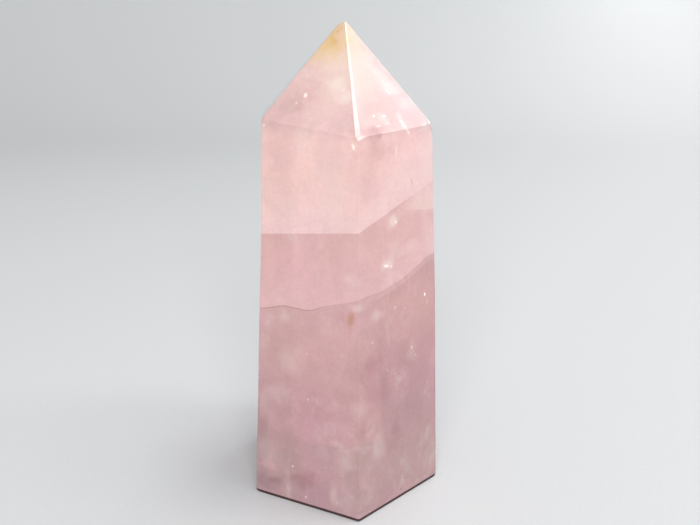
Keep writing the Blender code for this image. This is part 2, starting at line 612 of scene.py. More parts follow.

# Where the milk is paler, whiter, greyer, a deeper rose, rusty, ochre or cream, and two rows that paint a
# highlight on
# the right shoulder corner: the place, the reach across and up in mm, and how strongly.
PATCHES = (
    ("pale", (-3.4, -24.6, 100.2), 7.5, 21.6, 0.22),
    ("cool", (-17.8, -17.1, 106.1), 8.0, 16.3, 0.12),
    ("pale", (-15.6, -21.1, 47.1), 5.6, 6.2, 0.22),
    ("pale", (-12.9, -22.3, 50.2), 3.3, 4.3, 0.14),
    ("pale", (-19.9, -19.5, 35.8), 6.6, 3.8, 0.22),
    ("pale", (-17.2, -19.7, 60.1), 2.8, 2.4, 0.32),
    ("deep", (-0.2, -28.0, 63.1), 3.8, 3.4, 0.20),
    ("rust", (2.1, -29.1, 63.3), 1.4, 2.4, 0.50),
    ("rust", (2.0, -29.2, 60.9), 1.6, 3.8, 0.25),
    ("deep", (-7.2, -25.0, 53.6), 14.1, 10.6, 0.10),
    ("deep", (-5.3, -26.8, 35.4), 12.2, 14.4, 0.08),
    ("cool", (-25.3, -17.8, 16.6), 3.8, 17.3, 0.33),
    ("cool", (-22.4, -19.8, 5.4), 7.5, 5.3, 0.40),
    ("deep", (-12.6, -24.5, 9.3), 5.6, 4.3, 0.50),
    ("cool", (-15.8, -22.9, 8.2), 6.1, 5.3, 0.14),
    ("deep", (-20.7, -20.6, 6.0), 3.3, 1.9, 0.25),
    ("pale", (-22.7, -19.2, 15.0), 4.7, 6.7, 0.20),
    ("cool", (-17.8, -21.4, 18.2), 7.5, 11.5, 0.22),
    ("pale", (-24.8, -17.3, 31.9), 2.8, 5.8, 0.20),
    ("pale", (-6.3, -27.1, 19.9), 4.2, 3.8, 0.12),
    ("deep", (-2.4, -28.9, 22.4), 3.3, 1.4, 0.22),
    ("pale", (0.5, -30.6, 19.1), 4.7, 4.3, 0.28),
    ("pale", (-16.9, -22.7, 3.4), 1.4, 4.3, 0.35),
    ("pale", (-2.8, -29.5, 7.0), 1.9, 5.3, 0.20),
    ("pale", (0.5, -31.2, 6.1), 5.6, 6.7, 0.14),
    ("pale", (2.5, -28.8, 74.4), 3.8, 1.9, 0.20),
    ("pale", (-11.5, -20.0, 111.5), 3.8, 3.8, 0.18),
    ("deep", (7.3, -25.2, 104.9), 7.5, 13.4, 0.12),
    ("pale", (18.8, -14.4, 100.9), 12.8, 6.7, 0.20),
    # Paler down the right edge; at its top this is a painted highlight on the rounded right shoulder corner.
    ("pale", (24.6, -8.6, 106.9), 4.6, 16.3, 0.35),
    ("pale", (14.0, -19.7, 88.6), 2.6, 2.2, 0.75),
    ("pale", (12.7, -21.6, 76.9), 4.6, 2.4, 0.60),
    ("pale", (15.9, -18.4, 79.2), 4.6, 2.4, 0.20),
    ("pale", (19.9, -14.5, 80.1), 4.1, 2.9, 0.20),
    ("pale", (14.4, -19.7, 81.9), 3.5, 2.4, 0.22),
    ("pale", (25.0, -9.6, 80.5), 3.5, 9.6, 0.20),
    ("pale", (24.3, -9.6, 93.4), 5.2, 5.8, 0.35),
    ("pale", (4.5, -30.1, 66.7), 3.5, 1.4, 0.40),
    ("pale", (9.6, -25.4, 62.7), 3.5, 2.4, 0.40),
    ("deep", (8.0, -27.7, 48.3), 5.2, 6.7, 0.28),
    ("deep", (10.1, -26.2, 39.3), 6.4, 6.7, 0.18),
    ("pale", (4.6, -31.7, 35.8), 4.1, 3.4, 0.18),
    ("deep", (6.1, -30.7, 28.8), 4.1, 2.9, 0.26),
    ("deep", (15.9, -21.5, 24.1), 2.9, 6.7, 0.26),
    ("deep", (13.8, -23.8, 19.6), 2.9, 4.3, 0.20),
    ("pale", (10.3, -27.0, 21.2), 4.1, 6.2, 0.20),
    ("pale", (8.5, -28.9, 17.7), 7.0, 4.8, 0.06),
    ("pale", (27.8, -11.1, 7.8), 4.1, 6.7, 0.14),
    ("pale", (20.6, -15.7, 47.2), 2.9, 4.3, 0.26),
    ("cool", (-15.8, -13.3, 120.1), 7.2, 4.7, 0.20),
    ("deep", (-8.4, -13.5, 122.8), 6.3, 6.2, 0.13),
    ("ochre", (-6.9, -5.6, 131.7), 5.8, 4.7, 0.16),
    ("ochre", (-2.5, -0.2, 139.1), 4.0, 3.9, 0.68),
    ("ochre", (-3.1, -2.5, 136.4), 3.2, 2.3, 0.30),
    ("cream", (-6.4, -4.8, 132.7), 5.4, 5.5, 0.32),
    ("cream", (-2.7, -6.7, 132.2), 4.0, 4.7, 0.30),
    ("pale", (-1.5, -12.9, 126.2), 3.6, 2.3, 0.60),
    ("pale", (-0.1, -17.1, 122.4), 3.2, 2.0, 0.40),
    ("white", (-0.5, -9.4, 130.3), 2.2, 4.7, 0.30),
    ("white", (-1.5, -13.8, 125.2), 4.0, 3.1, 0.30),
    ("white", (1.2, -17.6, 122.4), 2.2, 3.9, 0.40),
    ("deep", (8.4, -22.6, 114.3), 5.8, 2.7, 0.30),
    ("cool", (8.3, -23.8, 112.6), 5.2, 2.9, 0.12),
    ("deep", (9.5, -22.9, 109.3), 7.0, 3.4, 0.14),
    ("pale", (19.6, -14.1, 92.4), 5.8, 3.8, 0.22),
    ("pale", (-4.9, -8.3, 129.6), 3.6, 2.0, 0.28),
    ("pale", (-3.9, -19.7, 118.2), 8.1, 3.9, 0.12),
    ("white", (2.3, -0.7, 138.8), 2.2, 3.1, 0.50),
    ("white", (-0.1, -4.4, 135.7), 1.1, 2.7, 0.40),
    # A painted highlight on the rounded right shoulder corner.
    ("white", (23.8, -9.0, 113.5), 3.5, 1.9, 0.35),
    ("white", (7.0, -5.0, 131.1), 3.6, 4.7, 0.40),
    ("white", (10.4, -6.1, 127.3), 4.0, 4.7, 0.55),
    ("white", (14.1, -6.7, 123.8), 5.8, 3.5, 0.60),
    ("white", (18.4, -7.2, 120.0), 5.4, 2.3, 0.40),
    ("deep", (7.4, -18.5, 118.8), 7.2, 4.7, 0.14),
    ("white", (10.7, -17.4, 117.1), 2.7, 2.0, 0.40),
    ("white", (15.5, -13.0, 117.1), 1.3, 2.7, 0.40),
    ("white", (16.9, -14.6, 114.5), 1.3, 2.0, 0.60),
    ("deep", (9.5, -21.5, 114.4), 8.1, 1.2, 0.14),
)


def patched(tree, place, body, sizes):
    """Add the patches, each with a torn rim."""
    colours = {"pale": sizes.pale_milk_and_highlight, "white": sizes.white_milk_and_highlight, "cool": sizes.cool_milk,
               "deep": sizes.deep_rose, "rust": linear(RUST_PATCH),
               "ochre": linear(OCHRE_PATCH), "cream": linear(CREAM_PATCH)}
    torn = add_node(tree, "TexNoise", {"Vector": place, "Scale": 1 / TORN_PATCH_RIMS, "Detail": 3.0,
                                       "Distortion": 0.3})
    torn = swing_of(tree, torn, 1.7)
    for kind, centre, across, up, strength in PATCHES:
        apart = distance_to(tree, place, centre, (1 / across, 1 / across, 1 / up))
        apart = add_node(tree, "Math", (apart, torn), operation="ADD")
        patch = add_node(tree, "MapRange", (apart, 1.15, 0.0, 0.0, strength),
                         interpolation_type="SMOOTHSTEP")
        body = add_node(tree, "Mix", (patch, body, opaque(colours[kind])), data_type="RGBA")
    return body


def layered_milk_and_shade(tree, place, over_upper, over_lower, sizes):
    """Three layers parted by the fractures, each lighter than the one below: partly the stone's own colour,
    and partly painted shade where the fractures hold back the light from above.

    The lowest is mauve at the foot, pinker further up and deeper to the right, and it has a thin pale
    band under its fracture. The middle one has a paler wedge at the right of the upper fracture.
    """
    across = add_node(tree, "SeparateXYZ", (place,))
    x, height = across.outputs["X"], across.outputs["Z"]
    low = turning(tree, height, 12.0, 25.0, opaque(sizes.foot_mauve), opaque(sizes.lower_mauve))
    low = turning(tree, height, 30.0, 66.0, low, opaque([0.92 * c for c in sizes.middle_pink]))
    to_right = passing_both(tree, (x, -1.0, 15.0, 0.0, 0.18), (height, 30.0, 52.0))
    low = add_node(tree, "Mix", (to_right, low, opaque(sizes.deep_rose)), data_type="RGBA")
    band = passing_both(tree, (over_lower, -2.0, -1.6, 0.0, 0.5), (x, 2.0, 6.0))
    low = add_node(tree, "Mix", (band, low, opaque(sizes.middle_pink)), data_type="RGBA")
    body = turning(tree, over_lower, -0.25, 0.25, low, opaque(sizes.middle_pink))
    slope = add_node(tree, "Math", (x, 0.17), operation="MULTIPLY")
    over_wedge = add_node(tree, "Math", (slope, height), operation="ADD")
    wedge = passing_both(tree, (over_wedge, 93.85, 94.15, 0.0, 0.75), (x, 16.0, 22.0))
    body = add_node(tree, "Mix", (wedge, body, opaque(sizes.upper_pink)), data_type="RGBA")
    top = turning(tree, height, 111.0, 116.0, opaque(sizes.upper_pink), opaque(sizes.tip_pink))
    return turning(tree, over_upper, -0.2, 0.2, body, top)


def lit_by_fractures(tree, body, over_upper, over_lower, clouds):
    """The layers with the light that the fractures gather and lose, and with the clouds' shade."""
    near_upper, near_lower = near_fracture(tree, over_upper), near_fracture(tree, over_lower)
    glow = add_node(tree, "Math", (near_upper, near_lower), operation="ADD")
    glow = add_node(tree, "Math", (glow, 0.045), operation="MULTIPLY")
    glow = add_node(tree, "Math", (glow, 1.0), operation="ADD")
    shade = add_node(tree, "MapRange", (clouds, 0.3, 0.7, 0.955, 1.03), interpolation_type="SMOOTHSTEP")
    shade = add_node(tree, "Math", (shade, glow), operation="MULTIPLY")
    body = add_node(tree, "VectorMath", (body, shade), operation="SCALE")
    pinker = [add_node(tree, "Math", (near, share), operation="MULTIPLY")
              for near, share in ((near_upper, 0.45), (near_lower, 0.15))]
    pinker = add_node(tree, "Math", pinker, operation="ADD", use_clamp=True)
    return add_node(tree, "Mix", (pinker, body, opaque(linear(GATHERED_LIGHT))), data_type="RGBA")


def growth_domains(tree, place, body):
    """Patches a little lighter or darker than their neighbours, as the crystal grew, with bent edges."""
    bends = add_node(tree, "TexNoise", {"Vector": place, "Scale": 1 / DOMAIN_BENDS, "Detail": 3.0})
    bent = add_node(tree, "VectorMath", (bends.outputs["Color"], (2.4, 2.4, 2.4), place),
                    operation="MULTIPLY_ADD")
    domains = add_node(tree, "TexVoronoi", {"Vector": bent, "Scale": 1 / GROWTH_DOMAINS})
    domain = add_node(tree, "SeparateXYZ", (domains.outputs["Color"],)).outputs["X"]
    return mottled(tree, body, domain, 0.1, 0.9, 0.975, 1.02)


def streaks_of(tree, place, turn, stretch, size):
    """Soft pale hazes, drawn out along one direction."""
    turned = add_node(tree, "Mapping", {"Vector": place, "Rotation": turn, "Scale": stretch})
    haze = add_node(tree, "TexNoise", {"Vector": turned, "Scale": 1 / size, "Detail": 4.0,
                                       "Roughness": 0.55, "Distortion": 0.15})
    return add_node(tree, "MapRange", (haze, 0.5, 0.74), interpolation_type="SMOOTHSTEP")


def hazed(tree, place, body):
    """Hazes drawn out in two directions, in some parts of the stone and not in others."""
    hazes = [streaks_of(tree, place, *haze) for haze in HAZES]
    hazes = add_node(tree, "Math", hazes, operation="MAXIMUM")
    parts = add_node(tree, "TexNoise", {"Vector": place, "Scale": 1 / HAZY_PARTS})
    parts = add_node(tree, "MapRange", (parts, 0.4, 0.62), interpolation_type="SMOOTHSTEP")
    hazes = add_node(tree, "Math", (hazes, parts), operation="MULTIPLY")
    return tinged(tree, body, hazes, 0.26, linear(HAZE_WHITE))


def body_colour(tree, place, sizes):
    """(the milk's colour, the height over the lower fracture), mottled coarse and fine."""
    clouds = add_node(tree, "TexNoise", {"Vector": place, "Scale": 1 / SOFT_CLOUDS, "Detail": 3.0,
                                         "Distortion": 0.6})
    wobble = swing_of(tree, clouds, 0.8)
    over_lower = height_over_fracture(tree, place, LOWER_FRACTURE)
    over_lower = add_node(tree, "Math", (over_lower, wobble), operation="ADD")
    wobble = add_node(tree, "Math", (wobble, 0.3), operation="MULTIPLY")
    over_upper = height_over_fracture(tree, place, UPPER_FRACTURE)
    over_upper = add_node(tree, "Math", (over_upper, wobble), operation="ADD")
    body = layered_milk_and_shade(tree, place, over_upper, over_lower, sizes)
    areas = add_node(tree, "TexNoise", {"Vector": place, "Scale": 1 / WARM_AND_COOL_AREAS})
    areas = turning(tree, areas, 0.35, 0.65, opaque(COOL_AREA), opaque(WARM_AREA))
    body = add_node(tree, "Mix", (1.0, body, areas), data_type="RGBA", blend_type="MULTIPLY")
    body = lit_by_fractures(tree, body, over_upper, over_lower, clouds)
    body = growth_domains(tree, place, body)
    body = hazed(tree, place, body)
    grain = add_node(tree, "TexNoise", {"Vector": place, "Scale": 1 / GRAIN, "Detail": 3.0,
                                        "Roughness": 0.7})
    body = mottled(tree, body, grain, 0.3, 0.7, 0.965, 1.03)
    return patched(tree, place, body, sizes), over_lower


def freckled(tree, place, body):
    """Tiny pale freckles, one in a few of the cells of a fine net."""
    cells = add_node(tree, "TexVoronoi", {"Vector": place, "Scale": 1 / FRECKLE_NET})
    drawn = add_node(tree, "SeparateXYZ", (cells.outputs["Color"],)).outputs["X"]
    chosen = add_node(tree, "Math", (drawn, 0.92), operation="GREATER_THAN")
    dots = add_node(tree, "MapRange", (cells.outputs["Distance"], 0.05, 0.16, 1.0, 0.0))
    freckles = add_node(tree, "Math", (dots, chosen), operation="MULTIPLY")
    return tinged(tree, body, freckles, 0.4, linear(FRECKLE_WHITE))


def shaded_rough_rim(tree, place):
    """1 in the narrow band above the base, 0 elsewhere: the band is painted dark as shade along the foot,
    and made rougher.
    """
    height = add_node(tree, "SeparateXYZ", (place,)).outputs["Z"]
    return add_node(tree, "MapRange", (height, *RIM_HEIGHTS, 1.0, 0.0))


def stained(tree, place, body, over_lower, sizes):
    """Add the iron stain at the tip, the brown line of the open crack and the painted shade along the rim.
    """
    # The stain from the outside in: the centre, how each axis is squashed, how far the edge is torn,
    # where it's full and where it's gone (all in mm), how strong it is, and its colour.
    stains = (
        ((1.0, -9.5, 128.5), (0.55, 0.4, 0.45), 4.5, 0.5, 6.0, 0.6, linear(PALE_STAIN)),
        ((-2.0, -1.0, 140.0), (0.8, 0.8, 0.8), 9.0, 3.0, 11.0, 0.6, linear(CREAM_STAIN)),
        ((-4.0, -3.0, 135.2), (0.7, 0.8, 0.8), 9.0, 0.5, 5.0, 0.55, sizes.rust),
        ((-2.3, -2.8, 136.4), (1.0, 1.0, 1.0), 3.15, 0.2, 1.9, 0.5, linear(STAIN_CORE)),
    )
    ragged = add_node(tree, "TexNoise", {"Vector": place, "Scale": 1 / TORN_STAIN_RIMS, "Detail": 4.0,
                                         "Roughness": 0.6})
    for centre, squash, torn, full, gone, share, colour in stains:
        apart = (distance_to(tree, place, centre, squash), swing_of(tree, ragged, torn))
        apart = add_node(tree, "Math", apart, operation="ADD")
        stain = add_node(tree, "MapRange", (apart, full, gone, 1.0, 0.0))
        body = tinged(tree, body, stain, share, colour)
    x = add_node(tree, "SeparateXYZ", (place,)).outputs["X"]
    left = add_node(tree, "MapRange", (x, -3.0, -9.0), interpolation_type="SMOOTHSTEP")
    apart = add_node(tree, "Math", (over_lower,), operation="ABSOLUTE")
    crack = add_node(tree, "MapRange", (apart, 0.03, 0.22, 1.0, 0.0))
    crack = add_node(tree, "Math", (crack, left), operation="MULTIPLY")
    body = tinged(tree, body, crack, 0.55, linear(OPEN_CRACK))
    # Painted shade: a dark band along the foot of the stone.
    return tinged(tree, body, shaded_rough_rim(tree, place), 0.96, linear(RIM_SHADE))


# The materials


def quartz_material(sizes):
    """Polished rose quartz.

    Ground and tumbled to a glassy polish. Its milk comes from fibres far too fine to see, so the eye
    gets a soft pink body with some depth, and a thin sharp gloss over it.
    """
    material, tree, shader = new_material("polished_rose_quartz")
    place = place_in_mm(tree)
    body, over_lower = body_colour(tree, place, sizes)
    body = freckled(tree, place, body)
    body = stained(tree, place, body, over_lower, sizes)
    feed(tree, body, shader.inputs["Base Color"])
    smudges = add_node(tree, "TexNoise", {"Vector": place, "Scale": 1 / SMUDGES_ON_THE_POLISH, "Detail": 4.0,
                                          "Roughness": 0.65})
    sharpest, dullest = sizes.polish_roughness * 0.7, sizes.polish_roughness * 1.5
    polish = add_node(tree, "MapRange", (smudges, 0.35, 0.7, sharpest, dullest),
                      interpolation_type="SMOOTHSTEP")
    unpolished = add_node(tree, "Math", (shaded_rough_rim(tree, place), 0.6), operation="MULTIPLY")
    feed(tree, add_node(tree, "Math", (polish, unpolished), operation="ADD"), shader.inputs["Roughness"])
    shader.inputs["IOR"].default_value = QUARTZ_IOR
    shader.inputs["Transmission Weight"].default_value = sizes.clear_share
    depth = add_node(tree, "VolumeAbsorption")
    depth.inputs["Color"].default_value = opaque(sizes.depth_pink)
    depth.inputs["Density"].default_value = sizes.depth_strength
    feed(tree, depth, tree.nodes["Material Output"].inputs["Volume"])
    return material


def film_material(name, colour, patch_size, thin, thick, ragged=0.0, polish=0.5):
    """A film of tiny bubbles or rust in a fracture: soft and patchy, and thinner towards its rim.

    Where it reaches the surface, it's polished like the stone.
    """
    material, tree, shader = new_material(name)
    place = place_in_mm(tree)
    shader.inputs["Base Color"].default_value = opaque(colour)
    shader.inputs["Roughness"].default_value = polish
    shader.inputs["IOR"].default_value = QUARTZ_IOR
    film = add_node(tree, "Attribute", attribute_name="film").outputs["Fac"]
    if ragged:
        torn = add_node(tree, "TexNoise", {"Vector": place, "Scale": 1 / (patch_size * 0.6), "Detail": 3.0,
                                           "Roughness": 0.65})
        torn = add_node(tree, "Math", (film, swing_of(tree, torn, ragged)), operation="ADD")
        torn = add_node(tree, "MapRange", (torn, 0.1, 0.8), interpolation_type="SMOOTHSTEP")
        inside = add_node(tree, "Math", (film, 5.0), operation="MULTIPLY", use_clamp=True)
        film = add_node(tree, "Math", (torn, inside), operation="MULTIPLY")
    patches = add_node(tree, "TexNoise", {"Vector": place, "Scale": 1 / patch_size, "Detail": 4.0,
                                          "Roughness": 0.6, "Distortion": 0.5})
    density = add_node(tree, "MapRange", (patches, 0.32, 0.68, thin, thick), interpolation_type="SMOOTHSTEP")
    feed(tree, add_node(tree, "Math", (density, film), operation="MULTIPLY"), shader.inputs["Alpha"])
    return material


# How far a fracture's sheet reaches before it's cut, and how far inside the sides it's cut, in mm.
SHEET_REACH = 40.0
SHEET_INSET = 0.1


def fracture_sheet(name, fracture, material, sizes):
    """A thin sheet that fills the stone's section along a healed fracture."""
    bm = bmesh.new()
    bmesh.ops.create_grid(bm, x_segments=48, y_segments=48, size=SHEET_REACH * MM)
    for vert in bm.verts:
        x, y = vert.co.x / MM, vert.co.y / MM
        vert.co.z = fracture_height(fracture, x, y) * MM
    for plane in side_planes():
        grind(bm, plane, inset=SHEET_INSET * MM, keep_open=True)
    hand_worn(bm, sizes)
    bmesh.ops.recalc_face_normals(bm, faces=bm.faces[:])
    film = bm.verts.layers.float.new("film")
    for vert in bm.verts:
        vert[film] = 1.0
    seal(name, bm, material)


def fixed_to_stone(piece):
    """Every piece is part of the one stone: it is attached to the root body."""
    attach(piece, "root")


def seal(name, bm, material):
    """A sealed film as a piece. Light passes it by, so it throws no shadow on the milk behind it."""
    film = finish_mesh(name, bm, material)
    film.visible_shadow = False
    fixed_to_stone(film)


def stone_surface():
    """The polished surface as a search tree, for placing pieces just under it."""
    stone = bpy.data.objects.get(STONE)
    if stone is None:
        raise RuntimeError("Add the stone first: the sealed pieces are placed under its polish.")
    return BVHTree.FromObject(stone, bpy.context.evaluated_depsgraph_get())


def under_polish(surface, place, depth):
    """(point at a depth below the polish nearest to a place in mm, outward normal there)."""
    point, normal, _, _ = surface.find_nearest(metres(place))
    return point - normal * (depth * MM), normal


def frame_on(normal, along):
    """A turn whose Z is the normal and whose X lies as near as can be to a direction."""
    side = Vector(along) - normal * normal.dot(Vector(along))
    side.normalize()
    up = normal.cross(side)
    return Matrix((side, up, normal)).transposed().to_4x4()


# The rings of a soft disc, from its rim inwards: the reach of each and how dense it is.
DISC_RINGS = ((1.0, 0.0), (0.62, 0.55), (0.3, 0.92))


def add_soft_disc(bm, centre, turn, length, width, strength):
    """A flat disc, dense in its middle and gone at its rim."""
    film = bm.verts.layers.float["film"]
    place = Matrix.Translation(centre) @ turn @ Matrix.Diagonal((length * MM / 2, width * MM / 2, 1.0, 1.0))
    rings, made = [], []
    for reach, level in DISC_RINGS:
        ring = bmesh.ops.create_circle(bm, cap_ends=False, segments=14, radius=reach, matrix=place)["verts"]
        for vert in ring:
            vert[film] = level * strength
        rings.append(ring)
    for outer, inner in zip(rings, rings[1:]):
        edges = {edge for ring in (outer, inner) for vert in ring for edge in vert.link_edges
                 if all(end in ring for end in edge.verts)}
        made += bmesh.ops.bridge_loops(bm, edges=list(edges))["faces"]
    made += bmesh.ops.contextual_create(bm, geom=rings[-1])["faces"]
    outward = turn.to_3x3() @ Vector(UPWARDS)
    for face in made:
        face.normal_update()
    bmesh.ops.reverse_faces(bm, faces=[face for face in made if face.normal.dot(outward) < 0])


def new_soft_mesh():
    """An empty bmesh that says at each vertex how dense the film is."""
    bm = bmesh.new()
    bm.verts.layers.float.new("film")
    return bm


# How far over the base a film ends at the least, in mm.
OVER_BASE = 0.01


def trim(bm, inset):
    """Cut away what stands out of the stone, or is nearer to its faces than the inset."""
    for plane in side_planes() + tip_planes():
        grind(bm, plane, inset, keep_open=True)
    grind(bm, BASE, max(inset, OVER_BASE * MM), keep_open=True)


# How deep the flaws that reach the polish lie, in mm: their fine film stands just proud of it.
ON_POLISH = -0.015

# How far the worn faces stand out from their planes at the most, in mm: films on the polish that go
# beyond an arris are cut off there.
SWOLLEN = -0.42

# How deep under the faces the veils and the clouds end, in mm.
VEIL_INSET = 0.7
CLOUD_INSET = 0.05

# The kinds of film: the size of its patches in mm, how dense its thin and thick parts are, how ragged
# its rim is, and how rough the polish is over it.
FRACTURE_FILM = (9.0, 0.15, 0.8)
VEIL_FILM = (12.0, 0.25, 0.75)
CLOUD_FILM = (2.4, 0.25, 0.8, 0.7)
ON_POLISH_FILM = (0.9, 0.5, 0.95, 0.5, 0.1)

# How many discs make up a cloud.
CLOUD_DISCS = 5

# The clouds that can be seen from the front: the place on the polish (mm), the direction they are
# drawn out in, the length and width of the whole cloud, how deep it lies, and how dense it is.
CLOUDS = (
    ((-0.8, -13.0, 126.3), (0.3, 0.0, 1.0), 5.5, 3.4, 0.4, 0.9),
    ((-3.2, -11.8, 126.7), (1.0, 0.3, 0.4), 3.5, 2.2, 0.4, 0.7),
    ((1.2, -17.1, 122.9), (0.2, 0.0, 1.0), 3.0, 1.6, 0.3, 0.8),
    ((-11.2, -20.0, 112.9), (1.0, 0.0, 0.3), 6.0, 4.0, 0.8, 0.5),
    ((9.5, -18.4, 116.8), (1.0, 0.3, -0.5), 6.5, 3.8, 0.3, 1.0),
    ((7.8, -9.0, 127.0), (0.6, 0.0, -1.0), 10.0, 4.0, 0.5, 1.0),
    ((13.2, -8.2, 123.3), (1.0, 0.3, -0.5), 9.0, 3.6, 0.4, 1.0),
    ((15.2, -13.2, 117.0), (3.4, -3.1, -5.6), 9.0, 2.2, 0.3, 1.0),
    ((21.0, -8.5, 116.5), (1.0, 0.3, -1.0), 8.0, 3.4, 0.5, 0.8),
    ((2.8, -27.1, 110.8), (0.3, 0.0, -1.0), 3.0, 1.8, 0.4, 0.6),
    ((14.6, -18.0, 107.8), (0.1, 0.0, 1.0), 6.0, 1.5, 0.4, 0.7),
    ((12.2, -22.0, 77.1), (1.0, 0.8, 0.5), 5.0, 2.6, 0.3, 0.9),
    ((15.5, -19.0, 76.0), (0.3, 0.3, 1.0), 5.5, 2.2, 0.8, 0.6),
    ((14.9, -18.9, 88.4), (0.3, 0.3, 1.0), 3.0, 2.2, 0.4, 0.7),
    ((20.0, -15.0, 80.5), (0.5, 0.5, 0.6), 8.0, 3.5, 1.2, 0.5),
    ((25.0, -9.5, 86.0), (0.5, 0.5, 0.0), 5.0, 4.0, 1.0, 0.45),
    ((3.8, -30.0, 66.6), (0.6, 0.0, 1.0), 3.6, 2.6, 0.3, 0.9),
    ((9.9, -25.1, 62.3), (0.4, 0.4, 1.0), 4.0, 2.0, 0.5, 0.7),
    ((8.5, -26.6, 59.0), (4.0, 4.0, 2.0), 8.0, 2.0, 0.8, 0.5),
    ((-15.5, -21.0, 47.0), (-0.5, 0.0, -0.8), 7.0, 4.5, 0.7, 0.6),
    ((-19.4, -19.8, 34.8), (1.0, -0.45, 0.86), 18.0, 5.0, 0.7, 0.6),
    ((3.7, -31.3, 35.0), (0.0, 0.0, 1.0), 8.0, 3.0, 1.0, 0.5),
    ((10.3, -26.9, 23.9), (0.2, 0.2, 1.0), 6.0, 2.4, 0.7, 0.5),
    ((15.8, -21.2, 32.3), (0.3, 0.3, 1.0), 6.0, 3.6, 0.9, 0.45),
    ((-24.8, -18.4, 10.3), (1.0, -0.48, -0.2), 8.0, 4.5, 0.3, 0.75),
    ((-22.0, -19.8, 9.3), (1.0, -0.48, 0.12), 11.0, 1.0, 0.2, 1.0),
    ((-17.5, -22.3, 4.4), (0.1, 0.0, 1.0), 5.5, 1.5, 0.3, 0.8),
    ((-2.9, -29.4, 7.2), (0.1, 0.0, 1.0), 7.5, 2.2, 0.4, 0.75),
    ((-11.4, -25.2, 3.6), (0.2, 0.0, 1.0), 3.5, 1.8, 0.4, 0.7),
)

# The bright flaws: the place, the direction, the length, the width and how dense they are.
FLAWS = (
    ((-10.2, -12.9, 122.7), (0.0, 0.7, 0.7), 2.0, 1.3, 0.6),
    ((-12.7, -13.8, 120.7), (0.0, 0.7, 0.7), 0.9, 0.7, 0.6),
    ((0.3, -15.2, 124.2), (0.4, 0.0, 1.0), 1.0, 0.7, 0.4),
    ((8.4, -18.6, 117.8), (0.6, 0.3, 1.0), 1.3, 1.0, 0.6),
    ((11.2, -16.4, 117.5), (1.0, 0.4, 0.6), 1.3, 1.0, 0.6),
    ((9.5, -20.4, 115.3), (1.0, 0.4, 0.4), 2.2, 0.8, 0.5),
    ((12.4, -17.6, 115.8), (1.0, 0.4, 0.8), 1.6, 0.7, 0.5),
    ((16.4, -14.2, 115.2), (0.55, -0.4, -1.0), 3.4, 1.5, 0.7),
    ((18.0, -14.2, 112.8), (0.5, 0.3, -1.0), 3.0, 0.7, 0.6),
    ((12.5, -8.7, 123.3), (0.8, 0.0, -1.0), 2.0, 1.0, 0.6),
    ((22.1, -10.6, 112.9), (1.0, 0.4, 0.3), 1.0, 0.7, 0.45),
    ((2.8, -27.1, 110.8), (0.3, 0.0, -1.0), 1.9, 0.9, 0.7),
    ((14.6, -18.0, 108.0), (0.1, 0.0, 1.0), 3.2, 0.7, 0.5),
    ((-21.7, -14.7, 114.7), (0.0, 0.0, 1.0), 1.0, 0.8, 0.6),
    ((14.9, -18.9, 88.4), (0.2, 0.0, 1.0), 1.2, 0.9, 0.6),
    ((25.7, -8.8, 83.1), (1.0, 0.8, 0.1), 1.2, 0.5, 0.5),
    ((12.1, -22.2, 76.5), (1.0, 0.8, -0.3), 2.0, 1.0, 0.8),
    ((13.6, -20.8, 76.0), (0.3, 0.2, -1.0), 1.3, 0.6, 0.5),
    ((2.5, -28.8, 74.5), (1.0, 0.0, 0.2), 1.8, 0.5, 0.3),
    ((20.3, -14.4, 74.9), (1.0, 0.8, 0.5), 0.8, 0.5, 0.5),
    ((-14.1, -21.0, 64.7), (1.0, 0.0, 0.2), 0.7, 0.5, 0.5),
    ((24.1, -11.4, 64.2), (0.1, 0.0, 1.0), 1.1, 0.7, 0.9),
    ((24.9, -10.8, 61.6), (0.4, 0.2, -1.0), 2.4, 0.5, 0.45),
    ((14.8, -20.4, 63.3), (0.7, 0.5, 0.7), 1.3, 0.5, 0.6),
    ((8.2, -27.1, 55.2), (0.0, 0.0, 1.0), 0.7, 0.6, 0.8),
    ((20.3, -15.9, 48.9), (0.2, 0.1, -1.0), 1.5, 0.6, 0.6),
    ((21.5, -14.9, 46.3), (0.4, 0.3, -1.0), 2.2, 0.5, 0.35),
    ((-10.4, -24.3, 35.7), (0.3, 0.0, -1.0), 1.2, 0.5, 0.45),
    ((-15.4, -22.9, 12.5), (1.0, 0.0, 1.0), 1.0, 0.5, 0.5),
    ((-1.9, -30.1, 4.3), (-0.2, 0.0, 1.0), 1.0, 0.5, 0.3),
    ((-11.5, -25.4, 3.1), (0.1, 0.0, 1.0), 0.9, 0.7, 0.45),
    ((8.0, -30.3, 1.6), (1.0, 1.0, 0.3), 0.8, 0.5, 0.5),
)

# The rust, and the thin open cracks and dark grains, in the same way.
RUST = (
    ((-1.4, -0.4, 139.3), (0.2, 0.0, 1.0), 1.6, 1.1, 0.4),
    ((2.1, -29.1, 63.3), (0.0, 0.0, 1.0), 1.6, 1.2, 0.15),
    ((20.3, -13.7, 88.5), (0.0, 0.0, 1.0), 3.0, 2.4, 0.15),
)
CRACKS = (
    ((7.1, -5.1, 131.0), (0.0, 0.0, 1.0), 0.6, 0.5, 0.5),
    ((19.4, -14.0, 98.9), (1.3, 0.9, -4.0), 5.0, 0.4, 0.38),
    ((6.8, -27.4, 69.3), (5.7, 4.9, 0.5), 8.0, 0.4, 0.4),
    ((-15.2, -21.8, 36.5), (-3.1, 1.4, -4.4), 5.4, 0.5, 0.28),
    ((16.5, -20.8, 27.5), (-2.7, -3.0, -6.0), 7.0, 1.3, 0.22),
    ((15.7, -22.0, 18.2), (0.0, 0.0, 1.0), 2.2, 1.6, 0.25),
    ((17.9, -20.8, 2.8), (1.0, 1.0, 0.6), 1.3, 1.0, 0.5),
    ((19.2, -19.4, 5.9), (0.0, 0.0, 1.0), 0.8, 0.6, 0.4),
    ((7.1, -31.1, 3.3), (0.3, 0.0, 1.0), 1.0, 0.5, 0.4),
)


